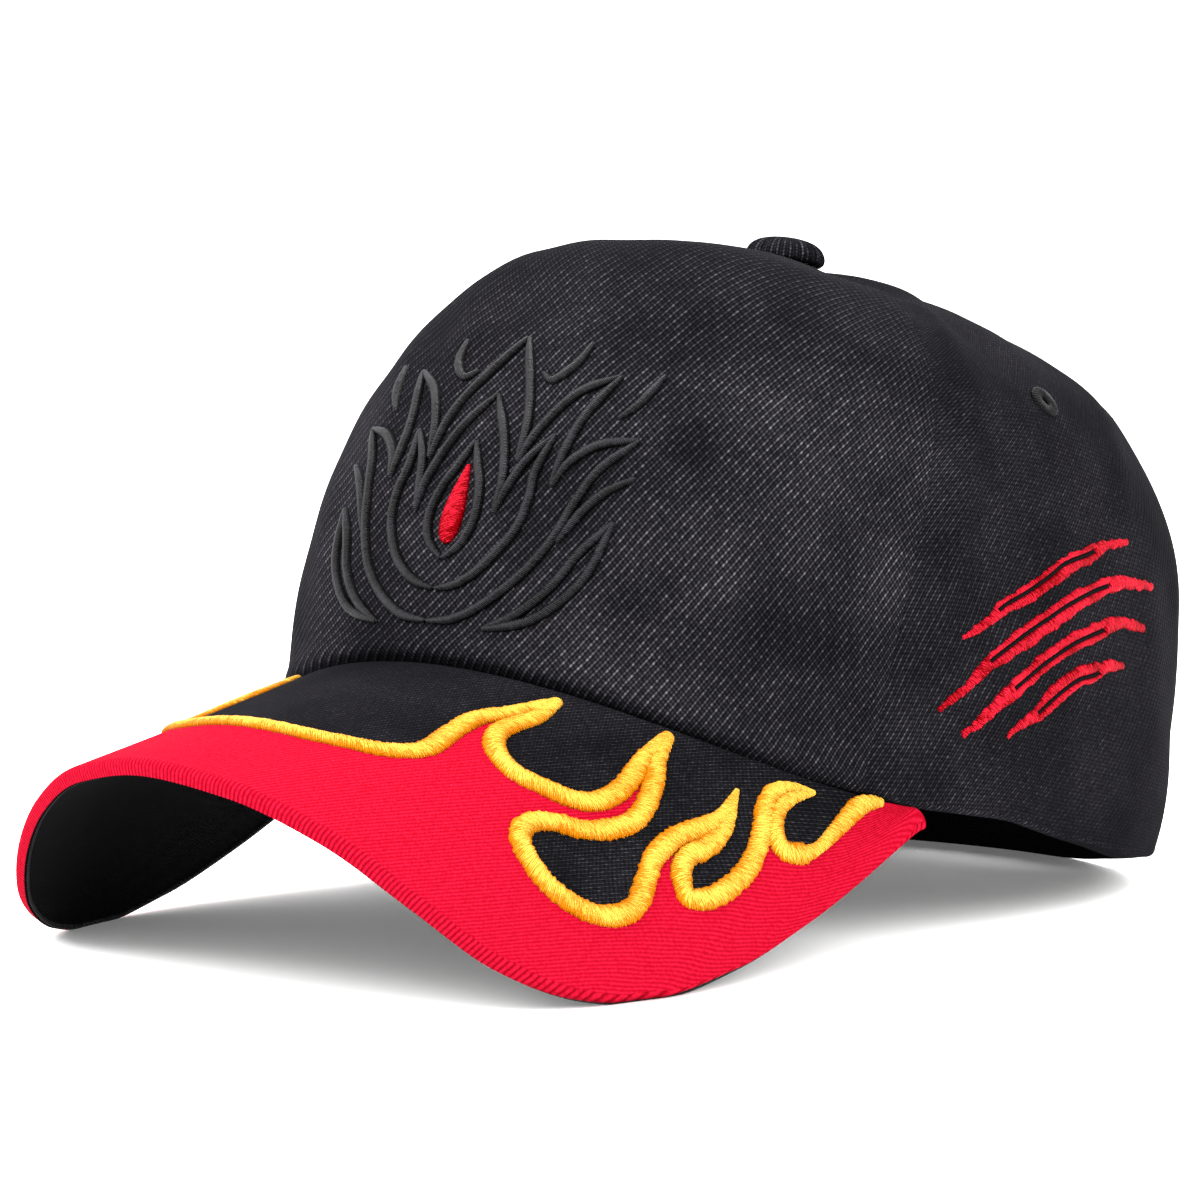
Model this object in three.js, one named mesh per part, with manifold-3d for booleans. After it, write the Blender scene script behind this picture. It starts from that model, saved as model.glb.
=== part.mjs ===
// A five-panel cap with a bent peak, in millimetres. The wearer faces -Y, +X is the wearer's left, and the
// cap rests on z = 0: on the two low bends of the peak's rim and on the strap at the back.
import * as THREE from "three";
import { mergeVertices } from "three/addons/utils/BufferGeometryUtils.js";
import Module from "manifold-3d";

const wasm = await Module();
wasm.setup();

// Cloth sizes: the panels' doubled wall, the gap left along every seam, and the layers of the peak.
const wall = 1.8;
const gap = 0.3;
const peakLining = 1.0;
const peakThickness = 3.4;

// The hem in plan is a rounded oval: half its width, its reach to the front and to the back.
const hem = { halfWidth: 84, front: 103, back: 97, squareness: 2.3 };
const apex = { y: 19.4, z: 137.6 };

// The hem's height: an arch over the peak, which ends at a corner on each side, then a slope to the floor.
const arch = { centreZ: 59, cornerX: 80, cornerZ: 29.3, fullness: 0.2, turnDown: 3.8 };
const hemSlope = [
  { y: 15, z: 15.2 },
  { y: 38, z: 9.8 },
  { y: 54, z: 8 },
  { y: 72, z: 4.9 },
  { y: 84, z: 2.3 },
  { y: 95, z: 0 },
  { y: 98, z: 0 },
];

// The crown's outline from the hem (t = 0) to the apex (t = 1): how far out the front, side and back lines
// stand, as shares of the hem's reach, and how high the front line and the others have risen. The lines
// between blend them by a power of how far each faces that way.
const outline = [
  { t: 0, front: 1, side: 1, back: 1, frontRise: 0, rise: 0 },
  { t: 0.25, front: 0.915, side: 1.03, back: 1.12, frontRise: 0.386, rise: 0.425 },
  { t: 0.55, front: 0.68, side: 0.91, back: 0.9, frontRise: 0.877, rise: 0.74 },
  { t: 0.8, front: 0.437, side: 0.574, back: 0.352, frontRise: 1.084, rise: 0.92 },
  { t: 1, front: 0, side: 0, back: 0, frontRise: 1, rise: 1 },
];
const crownTop = 0.97;
const blendPower = 1.5;

// The seams beside the front panel and behind the side panels, in degrees round from the front.
const seams = [
  { t: 0, front: 54, back: 137 },
  { t: 0.33, front: 64, back: 138 },
  { t: 0.66, front: 71, back: 139 },
  { t: 0.85, front: 86, back: 142 },
  { t: 1, front: 110, back: 150 },
];

// Soft shaping of the side panels: a swell along the front seam, and shallow dents (negative heights).
const swell = { height: 1.2, width: 10, fadeIn: 0.2 };
const dents = [
  { angle: 96, t: 0.74, height: -1.6, angleSpread: 10, tSpread: 0.16 },
  { angle: 65, t: 0.08, height: -1.2, angleSpread: 5, tSpread: 0.08 },
];

// The lower edge of the peak's rim on the wearer's left, from the middle of the front to the side corner.
const rim = [
  { s: 0, x: 0, y: -184, z: 43 },
  { s: 0.1, x: 19.5, y: -181, z: 40 },
  { s: 0.2, x: 37, y: -174, z: 32 },
  { s: 0.3, x: 51.5, y: -165, z: 20 },
  { s: 0.4, x: 62.5, y: -153.5, z: 8.2 },
  { s: 0.5, x: 70.5, y: -138, z: 1.2 },
  { s: 0.55, x: 73, y: -129, z: 0 },
  { s: 0.6, x: 75, y: -119.5, z: 0 },
  { s: 0.7, x: 77.3, y: -99, z: 3.4 },
  { s: 0.8, x: 78.4, y: -78, z: 10 },
  { s: 0.9, x: 79.1, y: -57, z: 18.5 },
  { s: 1, x: 79.6, y: -42, z: 25.5 },
];

// The round arch cut out of the back, the strap across it, and the band inside the hem.
const backArch = { radius: 47, centreZ: 4, near: 40, far: 130, segments: 28 };
const strap = { height: 20, thickness: 1.6, endAngle: 142 };
const band = { height: 30, thickness: 1.5, lift: 0.8, endAngle: 140, climb: 1.6 };

// The covered button, as radius and height of its outline over the crown, on a short stem.
const button = { tilt: 0.2, clearance: 0.7, sides: 20 };
const buttonOutline = [
  { r: 0, z: -4 },
  { r: 2, z: -4 },
  { r: 2, z: 0 },
  { r: 8, z: 0 },
  { r: 8.7, z: 1.4 },
  { r: 8.3, z: 3 },
  { r: 6.6, z: 4.6 },
  { r: 3.6, z: 5.6 },
  { r: 0, z: 5.9 },
];

// How finely each bent sheet is divided, along and up or out.
const facets = {
  frontPanel: [22, 13],
  sidePanel: [11, 13],
  peak: [36, 8],
  band: [50, 2],
  strap: [16, 1],
};

// Stitched eyelets, each round a small hole, at an angle round from the front and a height t.
const eyelet = { hole: 1.4, radius: 3.8, height: 0.9, rounding: 0.5, sides: 12, cutDepth: 6 };
const eyeletPlaces = [
  { panel: "side", angle: 99, t: 0.59 },
  { panel: "back", angle: 150, t: 0.59 },
];

const cloths = {
  black: new THREE.MeshStandardMaterial({ color: 0x17161b, roughness: 0.85, metalness: 0 }),
  peak: new THREE.MeshStandardMaterial({ color: 0xd5152b, roughness: 0.8, metalness: 0 }),
  lining: new THREE.MeshStandardMaterial({ color: 0x121115, roughness: 0.9, metalness: 0 }),
  thread: new THREE.MeshStandardMaterial({ color: 0x1c1b20, roughness: 0.6, metalness: 0 }),
};

const { abs, cos, sin, max, min, exp, hypot, sqrt, PI } = Math;
const radians = THREE.MathUtils.degToRad;

// A smooth curve through a table's rows that never overshoots them (cubic pieces with limited slopes).
function curveThrough(rows, input, output) {
  const xs = rows.map((row) => row[input]);
  const ys = rows.map((row) => row[output]);
  const steps = xs.slice(1).map((x, i) => x - xs[i]);
  const slopes = steps.map((step, i) => (ys[i + 1] - ys[i]) / step);
  const inner = slopes.slice(1).map((slope, i) => {
    const before = slopes[i];
    if (before * slope <= 0) return 0;
    const a = 2 * steps[i + 1] + steps[i];
    const b = steps[i + 1] + 2 * steps[i];
    return (a + b) / (a / before + b / slope);
  });
  const n = steps.length - 1;
  const first = endSlope(steps[0], steps[1], slopes[0], slopes[1]);
  const last = endSlope(steps[n], steps[n - 1], slopes[n], slopes[n - 1]);
  const tangents = [first, ...inner, last];
  return (x) => {
    const past = xs.findIndex((limit) => limit > x);
    const i = past < 0 ? n : max(past - 1, 0);
    const u = min(max((x - xs[i]) / steps[i], 0), 1);
    const share = u * u * (3 - 2 * u);
    const bend = steps[i] * u * (1 - u) * ((1 - u) * tangents[i] - u * tangents[i + 1]);
    return ys[i] * (1 - share) + ys[i + 1] * share + bend;
  };
}

// The slope at a table's end, carried on from its last two steps.
function endSlope(nearStep, farStep, nearSlope, farSlope) {
  const slope = ((2 * nearStep + farStep) * nearSlope - nearStep * farSlope) / (nearStep + farStep);
  if (slope * nearSlope <= 0) return 0;
  const turns = nearSlope * farSlope < 0;
  return turns && abs(slope) > 3 * abs(nearSlope) ? 3 * nearSlope : slope;
}

const frontReach = curveThrough(outline, "t", "front");
const sideReach = curveThrough(outline, "t", "side");
const backReach = curveThrough(outline, "t", "back");
const frontRise = curveThrough(outline, "t", "frontRise");
const sideRise = curveThrough(outline, "t", "rise");
const frontSeam = curveThrough(seams, "t", "front");
const backSeam = curveThrough(seams, "t", "back");

// Where the hem's oval stands at an angle round from the front.
function hemPlan(angle) {
  const depth = cos(angle) > 0 ? hem.front : hem.back;
  const power = hem.squareness;
  const radius = (abs(sin(angle) / hem.halfWidth) ** power + abs(cos(angle) / depth) ** power) ** (-1 / power);
  return { x: radius * sin(angle), y: -radius * cos(angle) };
}

// The hem's y on the front half, at a distance from the middle.
function frontHemY(x) {
  return -hem.front * (1 - min(abs(x) / hem.halfWidth, 1) ** hem.squareness) ** (1 / hem.squareness);
}

const cornerY = frontHemY(arch.cornerX);
const slopeZ = curveThrough([{ y: cornerY, z: arch.cornerZ }, ...hemSlope], "y", "z");

// The hem's height over the peak, at a distance from the middle.
function archZ(x) {
  const share = min((x / arch.cornerX) ** 2, 1);
  return arch.centreZ - (arch.centreZ - arch.cornerZ) * share * (1 - arch.fullness + arch.fullness * share);
}

function hemZ({ x, y }) {
  return y < cornerY ? archZ(x) : slopeZ(y);
}

// A point of the crown's smooth outer skin.
function crownSkin(angle, t) {
  const foot = hemPlan(angle);
  const toFront = max(cos(angle), 0) ** blendPower;
  const toBack = max(-cos(angle), 0) ** blendPower;
  const toSide = 1 - toFront - toBack;
  const reach = toFront * frontReach(t) + toSide * sideReach(t) + toBack * backReach(t);
  const rise = toFront * frontRise(t) + (1 - toFront) * sideRise(t);
  const footZ = hemZ(foot);
  return new THREE.Vector3(
    foot.x * reach,
    apex.y + (foot.y - apex.y) * reach,
    footZ + (apex.z - footZ) * rise,
  );
}

function crownNormal(angle, t) {
  const step = 0.004;
  const low = max(t, step);
  const around = crownSkin(angle + step, low).sub(crownSkin(angle - step, low));
  const upward = crownSkin(angle, low + step).sub(crownSkin(angle, low - step));
  return around.cross(upward).normalize();
}

// How far the side panels stand off the smooth skin.
function softness(angle, t) {
  const degrees = abs(THREE.MathUtils.radToDeg(angle));
  const skin = crownSkin(angle, t);
  const fromSeam = radians(degrees - frontSeam(t)) * hypot(skin.x, skin.y - apex.y);
  const seamSwell = swell.height * exp(-((fromSeam / swell.width) ** 2)) * min(t / swell.fadeIn, 1);
  const hollows = dents.map(
    (dent) =>
      dent.height * exp(-(((degrees - dent.angle) / dent.angleSpread) ** 2) - ((t - dent.t) / dent.tSpread) ** 2),
  );
  return hollows.reduce((sum, height) => sum + height, seamSwell);
}

// A point off the skin by so much: negative heights go into the wall and the hollow behind it.
function crownPoint(angle, t, height) {
  return crownSkin(angle, t).addScaledVector(crownNormal(angle, t), height);
}

// A box bent into a thin sheet: place() maps its width, its height and its thickness, each 0 to 1.
function bentSheet([columns, rows], place) {
  const box = new THREE.BoxGeometry(1, 1, 1, columns, rows, 1);
  box.deleteAttribute("normal");
  box.deleteAttribute("uv");
  const sheet = mergeVertices(box);
  const position = sheet.getAttribute("position");
  for (let i = 0; i < position.count; i += 1) {
    const point = place(position.getX(i) + 0.5, position.getY(i) + 0.5, position.getZ(i) + 0.5);
    position.setXYZ(i, point.x, point.y, point.z);
  }
  return sheet;
}

function solidFrom(geometry) {
  const bare = geometry.clone();
  bare.deleteAttribute("normal");
  bare.deleteAttribute("uv");
  const merged = mergeVertices(bare, 1e-4);
  return new wasm.Manifold(
    new wasm.Mesh({
      numProp: 3,
      vertProperties: new Float32Array(merged.getAttribute("position").array),
      triVerts: new Uint32Array(merged.index.array),
    }),
  );
}

function geometryFrom(solid) {
  const mesh = solid.getMesh();
  const geometry = new THREE.BufferGeometry();
  geometry.setAttribute("position", new THREE.BufferAttribute(mesh.vertProperties, 3));
  geometry.setIndex(new THREE.BufferAttribute(mesh.triVerts, 1));
  return geometry;
}

function cutFrom(geometry, cutters) {
  return geometryFrom(cutters.reduce((solid, cutter) => solid.subtract(solidFrom(cutter)), solidFrom(geometry)));
}

// The tables above are drawn from the middle of the hem's oval. The finished cap stands on the middle of
// its own footprint instead.
const footprintMiddle = -39.1;

const cap = new THREE.Group();
cap.name = "cap";
cap.position.y = -footprintMiddle;

function addPiece(name, geometry, material) {
  geometry.computeVertexNormals();
  const piece = new THREE.Mesh(geometry, material);
  piece.name = name;
  cap.add(piece);
  return piece;
}

// One panel of the crown between two seams, whose lowest row turns straight down behind the peak.
function crownPanel({ size, from, to, soft }) {
  const [, rows] = size;
  return bentSheet(size, (across, rising, outward) => {
    const t = (crownTop * max(rising * rows - 1, 0)) / (rows - 1);
    const middle = crownSkin((from(t) + to(t)) / 2, t);
    const margin = gap / 2 / hypot(middle.x, middle.y - apex.y);
    const angle = THREE.MathUtils.lerp(from(t) + margin, to(t) - margin, across);
    const point = crownPoint(angle, t, (soft ? softness(angle, t) : 0) - wall * (1 - outward));
    if (rising === 0) point.z -= turnDown(angle);
    return point;
  });
}

// The wall goes on down behind the peak, and less so towards the corners.
function turnDown(angle) {
  const foot = hemPlan(angle);
  return foot.y < 0 ? arch.turnDown * max(1 - (foot.x / arch.cornerX) ** 4, 0) : 0;
}

const latheAxis = new THREE.Vector3(0, 1, 0);

function eyeletSeat(angle, t, soft) {
  const normal = crownNormal(angle, t);
  const point = crownPoint(angle, t, soft ? softness(angle, t) : 0);
  return { point, turn: new THREE.Quaternion().setFromUnitVectors(latheAxis, normal) };
}

function eyeletCutter(seat) {
  const cutter = new THREE.CylinderGeometry(eyelet.hole, eyelet.hole, 2 * eyelet.cutDepth, eyelet.sides);
  return cutter.applyQuaternion(seat.turn).translate(seat.point.x, seat.point.y, seat.point.z);
}

function eyeletRing() {
  const low = gap;
  const high = gap + eyelet.height;
  const profile = [
    new THREE.Vector2(eyelet.hole, low),
    new THREE.Vector2(eyelet.radius, low),
    new THREE.Vector2(eyelet.radius - eyelet.rounding, high),
    new THREE.Vector2(eyelet.hole + eyelet.rounding, high),
    new THREE.Vector2(eyelet.hole, low),
  ];
  return new THREE.LatheGeometry(profile, eyelet.sides);
}

// The back of the crown is cut out over the strap, by a half round on straight legs.
function backArchCutter() {
  const shape = new THREE.Shape();
  shape.moveTo(backArch.radius, -backArch.centreZ);
  shape.lineTo(backArch.radius, backArch.centreZ);
  shape.absarc(0, backArch.centreZ, backArch.radius, 0, PI, false);
  shape.lineTo(-backArch.radius, -backArch.centreZ);
  const length = backArch.far - backArch.near;
  const cutter = new THREE.ExtrudeGeometry(shape, {
    depth: length,
    bevelEnabled: false,
    curveSegments: backArch.segments,
  });
  return cutter.rotateX(PI / 2).translate(0, backArch.far, 0);
}

function addCrown() {
  const left = (seam) => (t) => radians(seam(t));
  const right = (seam) => (t) => -radians(seam(t));
  const straight = (degrees) => () => radians(degrees);
  addPiece(
    "front_panel",
    crownPanel({ size: facets.frontPanel, from: right(frontSeam), to: left(frontSeam), soft: false }),
    cloths.black,
  );
  const sides = [
    { side: "left", turn: 1, panel: [left(frontSeam), left(backSeam)], back: [left(backSeam), straight(180)] },
    { side: "right", turn: -1, panel: [right(backSeam), right(frontSeam)], back: [straight(-180), right(backSeam)] },
  ];
  for (const { side, turn, panel, back } of sides) {
    const parts = { side: panel, back };
    for (const { panel: part, angle, t } of eyeletPlaces) {
      const soft = part === "side";
      const seat = eyeletSeat(turn * radians(angle), t, soft);
      const [from, to] = parts[part];
      const sheet = crownPanel({ size: facets.sidePanel, from, to, soft });
      const cutters = [eyeletCutter(seat)];
      if (part === "back") cutters.push(backArchCutter());
      addPiece(`${part}_panel_${side}`, cutFrom(sheet, cutters), cloths.black);
      const ring = addPiece(`eyelet_${part}_${side}`, eyeletRing(), cloths.thread);
      ring.position.copy(seat.point);
      ring.quaternion.copy(seat.turn);
    }
  }
}

function addButton() {
  const profile = buttonOutline.map(({ r, z }) => new THREE.Vector2(r, z));
  const piece = addPiece("top_button", new THREE.LatheGeometry(profile, button.sides), cloths.black);
  piece.position.set(0, apex.y, apex.z + button.clearance);
  piece.rotation.x = PI / 2 - button.tilt;
}

// The peak is ruled fore and aft, from the crown's wall to its rim. Its thickness stands upright at the
// wall and square to the peak at the rim.
const mirroredRim = [
  ...rim
    .slice(1)
    .reverse()
    .map(({ s, x, y, z }) => ({ s: -s, x: -x, y, z })),
  ...rim,
];
const rimX = curveThrough(mirroredRim, "s", "x");
const rimY = curveThrough(mirroredRim, "s", "y");
const rimZ = curveThrough(mirroredRim, "s", "z");

const upright = new THREE.Vector3(0, 0, 1);

function peakRoot(x) {
  const step = 0.05;
  const inside = min(abs(x), hem.halfWidth - 2 * step);
  const slope = (frontHemY(inside + step) - frontHemY(inside - step)) / (2 * step);
  const clear = gap * sqrt(1 + slope * slope);
  return new THREE.Vector3(x, frontHemY(x) - clear, archZ(x) - peakThickness);
}

function peakUnderside(s, out) {
  const edge = new THREE.Vector3(rimX(s), rimY(s), rimZ(s));
  return peakRoot(edge.x).lerp(edge, out);
}

function peakPoint(s, out, height) {
  const step = 0.002;
  const inner = min(max(s, step - 1), 1 - step);
  const across = peakUnderside(inner + step, out).sub(peakUnderside(inner - step, out));
  const outward = peakUnderside(s, 1).sub(peakUnderside(s, 0));
  const square = outward.cross(across).normalize();
  return peakUnderside(s, out).addScaledVector(upright.clone().lerp(square, out).normalize(), height);
}

function peakLayer(low, high) {
  return bentSheet(facets.peak, (across, outward, down) =>
    peakPoint(2 * across - 1, outward, THREE.MathUtils.lerp(high, low, down)),
  );
}

function addPeak() {
  addPiece("peak_under_cover", peakLayer(0, peakLining), cloths.lining);
  addPiece("peak_top_cover", peakLayer(peakLining + gap, peakThickness), cloths.peak);
}

// The band lies inside the hem from one end of the strap round the front to the other.
function addBand() {
  const outerDepth = wall + 3 * gap;
  const sheet = bentSheet(facets.band, (across, height, outward) => {
    const angle = radians(band.endAngle * (2 * across - 1));
    const top = band.height / (band.climb * (apex.z - hemZ(hemPlan(angle))));
    const depth = outerDepth + band.thickness * (1 - outward);
    const point = crownPoint(angle, top * height, min(softness(angle, top * height), 0) - depth);
    if (height === 0) point.z += band.lift - turnDown(angle);
    return point;
  });
  addPiece("sweatband", sheet, cloths.lining);
}

// The strap lies against the inside of the back panels. The middle of its lower edge is the flat face that the
// cap rests on.
function addStrap() {
  const outerDepth = wall + gap;
  const sheet = bentSheet(facets.strap, (across, height, outward) => {
    const angle = radians(THREE.MathUtils.lerp(strap.endAngle, 360 - strap.endAngle, across));
    const foot = hemPlan(angle);
    const inward = new THREE.Vector2(-foot.x, -foot.y).normalize();
    const depth = outerDepth + strap.thickness * (1 - outward);
    const low = hemZ(foot);
    return new THREE.Vector3(foot.x + inward.x * depth, foot.y + inward.y * depth, low + strap.height * height);
  });
  addPiece("rear_strap", sheet, cloths.black);
}

addCrown();
addButton();
addPeak();
addBand();
addStrap();

export default cap;
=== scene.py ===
# A five-panel cap of black ribbed twill with raised stitching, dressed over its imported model. The tables are
# in millimetres from the middle of the hem's oval, and toRow() takes them to metres in the model's own frame.
import math

import bmesh
import bpy
import numpy as np
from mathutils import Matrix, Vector


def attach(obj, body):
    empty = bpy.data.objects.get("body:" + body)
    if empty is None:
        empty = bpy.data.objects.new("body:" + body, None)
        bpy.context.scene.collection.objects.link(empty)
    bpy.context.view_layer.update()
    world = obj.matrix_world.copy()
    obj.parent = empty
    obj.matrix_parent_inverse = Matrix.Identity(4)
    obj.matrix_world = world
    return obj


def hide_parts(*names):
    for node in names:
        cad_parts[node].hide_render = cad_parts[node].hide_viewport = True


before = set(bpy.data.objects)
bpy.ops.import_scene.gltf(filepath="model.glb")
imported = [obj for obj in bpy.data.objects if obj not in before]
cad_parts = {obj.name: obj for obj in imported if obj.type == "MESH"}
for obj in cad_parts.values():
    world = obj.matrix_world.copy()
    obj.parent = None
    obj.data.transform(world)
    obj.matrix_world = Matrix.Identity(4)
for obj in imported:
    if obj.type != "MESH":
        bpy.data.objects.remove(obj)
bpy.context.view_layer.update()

mm = 0.001
footprintMiddle = np.array([0.0, -39.1, 0.0])  # where the row frame's origin stands in the tables' frame


def toRow(points):
    return (np.asarray(points, float) - footprintMiddle) * mm


def direction(azimuth, elevation):
    # from the object towards a place round and above it, in degrees
    azimuth, elevation = math.radians(azimuth), math.radians(elevation)
    level = math.cos(elevation)
    return math.sin(azimuth) * level, -math.cos(azimuth) * level, math.sin(elevation)


def addObject(name, data):
    made = bpy.data.objects.new(name, data)
    bpy.context.scene.collection.objects.link(made)
    return made


# Camera.

view = {
    "azimuth": 39.14, "elevation": 4.92, "distance": 1043.7, "aside": -28.7, "height": 64.6,
    "lens": 142.0, "sensor": 36.0, "clip": (0.05, 50),
}


def addCamera():
    azimuth = math.radians(view["azimuth"])
    aside = np.array([math.cos(azimuth), math.sin(azimuth), 0.0])
    back = np.array(direction(view["azimuth"], view["elevation"]))
    target = aside * view["aside"] + [0, 0, view["height"]]
    data = bpy.data.cameras.new("camera")
    data.lens = view["lens"]
    data.sensor_width = view["sensor"]
    data.clip_start, data.clip_end = view["clip"]
    camera = addObject("camera", data)
    camera.location = toRow(target + back * view["distance"])
    camera.rotation_euler = Vector(-back).to_track_quat("-Z", "Y").to_euler()
    bpy.context.scene.camera = camera


addCamera()
print("camera set")


# The crown's shape.

def curveThrough(rows, given, wanted):
    # a smooth curve through a table's rows that never overshoots them
    xs = np.array([row[given] for row in rows], float)
    ys = np.array([row[wanted] for row in rows], float)
    steps = np.diff(xs)
    slopes = np.diff(ys) / steps
    tangents = np.zeros(len(xs))
    for i in range(1, len(xs) - 1):
        before, after = slopes[i - 1], slopes[i]
        if before * after > 0:
            a, b = 2 * steps[i] + steps[i - 1], steps[i] + 2 * steps[i - 1]
            tangents[i] = (a + b) / (a / before + b / after)
    tangents[0] = endSlope(steps[0], steps[1], slopes[0], slopes[1])
    tangents[-1] = endSlope(steps[-1], steps[-2], slopes[-1], slopes[-2])

    def at(x):
        x = np.asarray(x, float)
        i = np.clip(np.searchsorted(xs, x, side="right") - 1, 0, len(steps) - 1)
        u = np.clip((x - xs[i]) / steps[i], 0, 1)
        share = u * u * (3 - 2 * u)
        bend = steps[i] * u * (1 - u) * ((1 - u) * tangents[i] - u * tangents[i + 1])
        return ys[i] * (1 - share) + ys[i + 1] * share + bend

    return at


def endSlope(nearStep, farStep, nearSlope, farSlope):
    slope = ((2 * nearStep + farStep) * nearSlope - nearStep * farSlope) / (nearStep + farStep)
    if slope * nearSlope <= 0:
        return 0.0
    turns = nearSlope * farSlope < 0
    return 3 * nearSlope if turns and abs(slope) > 3 * abs(nearSlope) else slope


crown = {
    "halfWidth": 84, "front": 103, "back": 97, "squareness": 2.3,  # the hem's oval
    "apexY": 19.4, "apexZ": 137.6, "top": 0.985, "blendPower": 1.5,
    "archTop": 59, "cornerX": 80, "cornerZ": 29.3, "archFullness": 0.2, "turnDown": 3.8,
    "gap": -0.14, "edgeRadius": 2.0, "edgeAngle": 70, "cloth": 0.9,
    "hemRadius": 1.0, "hemTuck": 2.0, "hemLift": 1.0, "liftFade": 0.06,
    "tuckFrom": 85, "tuckOver": 30, "tuckTo": 155, "tuckFade": 15,  # degrees round from the front
}
hemSlope = [
    {"y": 15, "z": 15.2},
    {"y": 38, "z": 9.8},
    {"y": 54, "z": 8},
    {"y": 72, "z": 4.9},
    {"y": 84, "z": 2.3},
    {"y": 95, "z": 0},
    {"y": 98, "z": 0},
]
outline = [  # from the hem to the apex: how far out each line stands, and how high it has risen
    {"t": 0, "front": 1, "side": 1, "back": 1, "frontRise": 0, "rise": 0},
    {"t": 0.25, "front": 0.915, "side": 1.03, "back": 1.12, "frontRise": 0.386, "rise": 0.425},
    {"t": 0.55, "front": 0.68, "side": 0.91, "back": 0.9, "frontRise": 0.877, "rise": 0.74},
    {"t": 0.8, "front": 0.437, "side": 0.574, "back": 0.352, "frontRise": 1.084, "rise": 0.92},
    {"t": 1, "front": 0, "side": 0, "back": 0, "frontRise": 1, "rise": 1},
]
seams = [  # degrees round from the front
    {"t": 0, "front": 54, "back": 137},
    {"t": 0.33, "front": 64, "back": 138},
    {"t": 0.55, "front": 70.3, "back": 138.7},
    {"t": 0.7, "front": 73, "back": 139.2},
    {"t": 0.82, "front": 79, "back": 141.5},
    {"t": 0.92, "front": 97, "back": 145.5},
    {"t": 1, "front": 110, "back": 150},
]
frontReach, sideReach, backReach = (curveThrough(outline, "t", way) for way in ("front", "side", "back"))
frontRise, sideRise = curveThrough(outline, "t", "frontRise"), curveThrough(outline, "t", "rise")
frontSeam, backSeam = curveThrough(seams, "t", "front"), curveThrough(seams, "t", "back")


def hemPlan(angle):
    depth = np.where(np.cos(angle) > 0, crown["front"], crown["back"])
    power = crown["squareness"]
    sideways = np.abs(np.sin(angle) / crown["halfWidth"]) ** power
    radius = (sideways + np.abs(np.cos(angle) / depth) ** power) ** (-1 / power)
    return radius * np.sin(angle), -radius * np.cos(angle)


def frontHemY(x):
    share = np.minimum(np.abs(x) / crown["halfWidth"], 1)
    return -crown["front"] * (1 - share ** crown["squareness"]) ** (1 / crown["squareness"])


cornerY = float(frontHemY(crown["cornerX"]))
slopeZ = curveThrough([{"y": cornerY, "z": crown["cornerZ"]}, *hemSlope], "y", "z")


def archZ(x):
    share = np.minimum((x / crown["cornerX"]) ** 2, 1)
    fullness, fall = crown["archFullness"], crown["archTop"] - crown["cornerZ"]
    return crown["archTop"] - fall * share * (1 - fullness + fullness * share)


def hemZ(x, y):
    # the hem's height: an arch over the peak, then a slope to the floor
    return np.where(y < cornerY, archZ(x), slopeZ(y))


def crownSkin(angle, t):
    # a point of the crown's smooth outer skin
    angle, t = np.broadcast_arrays(np.asarray(angle, float), np.asarray(t, float))
    footX, footY = hemPlan(angle)
    toFront = np.maximum(np.cos(angle), 0) ** crown["blendPower"]
    toBack = np.maximum(-np.cos(angle), 0) ** crown["blendPower"]
    reach = toFront * frontReach(t) + (1 - toFront - toBack) * sideReach(t) + toBack * backReach(t)
    rise = toFront * frontRise(t) + (1 - toFront) * sideRise(t)
    footZ = hemZ(footX, footY)
    apexY, apexZ = crown["apexY"], crown["apexZ"]
    return np.stack([footX * reach, apexY + (footY - apexY) * reach, footZ + (apexZ - footZ) * rise], axis=-1)


def unit(vectors):
    return vectors / np.maximum(np.linalg.norm(vectors, axis=-1, keepdims=True), 1e-12)


def crownNormal(angle, t):
    step = 0.004
    low = np.clip(t, step, 1 - step)
    around = crownSkin(angle + step, low) - crownSkin(angle - step, low)
    upward = crownSkin(angle, low + step) - crownSkin(angle, low - step)
    return unit(np.cross(around, upward))


def raised(angle, t, height):
    # points that stand a height above the skin, and the skin's normals there
    normals = crownNormal(angle, t)
    return crownSkin(angle, t) + normals * height[..., None], normals


def turnDown(angle):
    # how far the wall goes on down behind the peak
    footX, footY = hemPlan(angle)
    return np.where(footY < 0, crown["turnDown"] * np.maximum(1 - (footX / crown["cornerX"]) ** 4, 0), 0)


# The cloth's own measure over the crown: its run round from the front, and its climb from the floor.
measure = {"angles": np.radians(np.linspace(-180, 180, 361)), "ts": np.linspace(0, 1, 161)}
measured = crownSkin(measure["angles"][:, None], measure["ts"][None, :])
aroundSteps = np.linalg.norm(np.diff(measured[..., :2], axis=0), axis=-1)
aroundRun = np.concatenate([np.zeros((1, 161)), np.cumsum(aroundSteps, axis=0)])
aroundRun -= aroundRun[180]
climbSteps = np.linalg.norm(np.diff(measured, axis=1), axis=-1)
climb = np.concatenate([np.zeros((361, 1)), np.cumsum(climbSteps, axis=1)], axis=1) + measured[:, :1, 2]


def lookUp(table, angle, t):
    row = np.clip((np.degrees(angle) + 180), 0, 359.999)
    column = np.clip(np.asarray(t, float) * 160, 0, 159.999)
    i, j = row.astype(int), column.astype(int)
    a, b = row - i, column - j
    low = table[i, j] * (1 - a) + table[i + 1, j] * a
    high = table[i, j + 1] * (1 - a) + table[i + 1, j + 1] * a
    return low * (1 - b) + high * b


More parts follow.
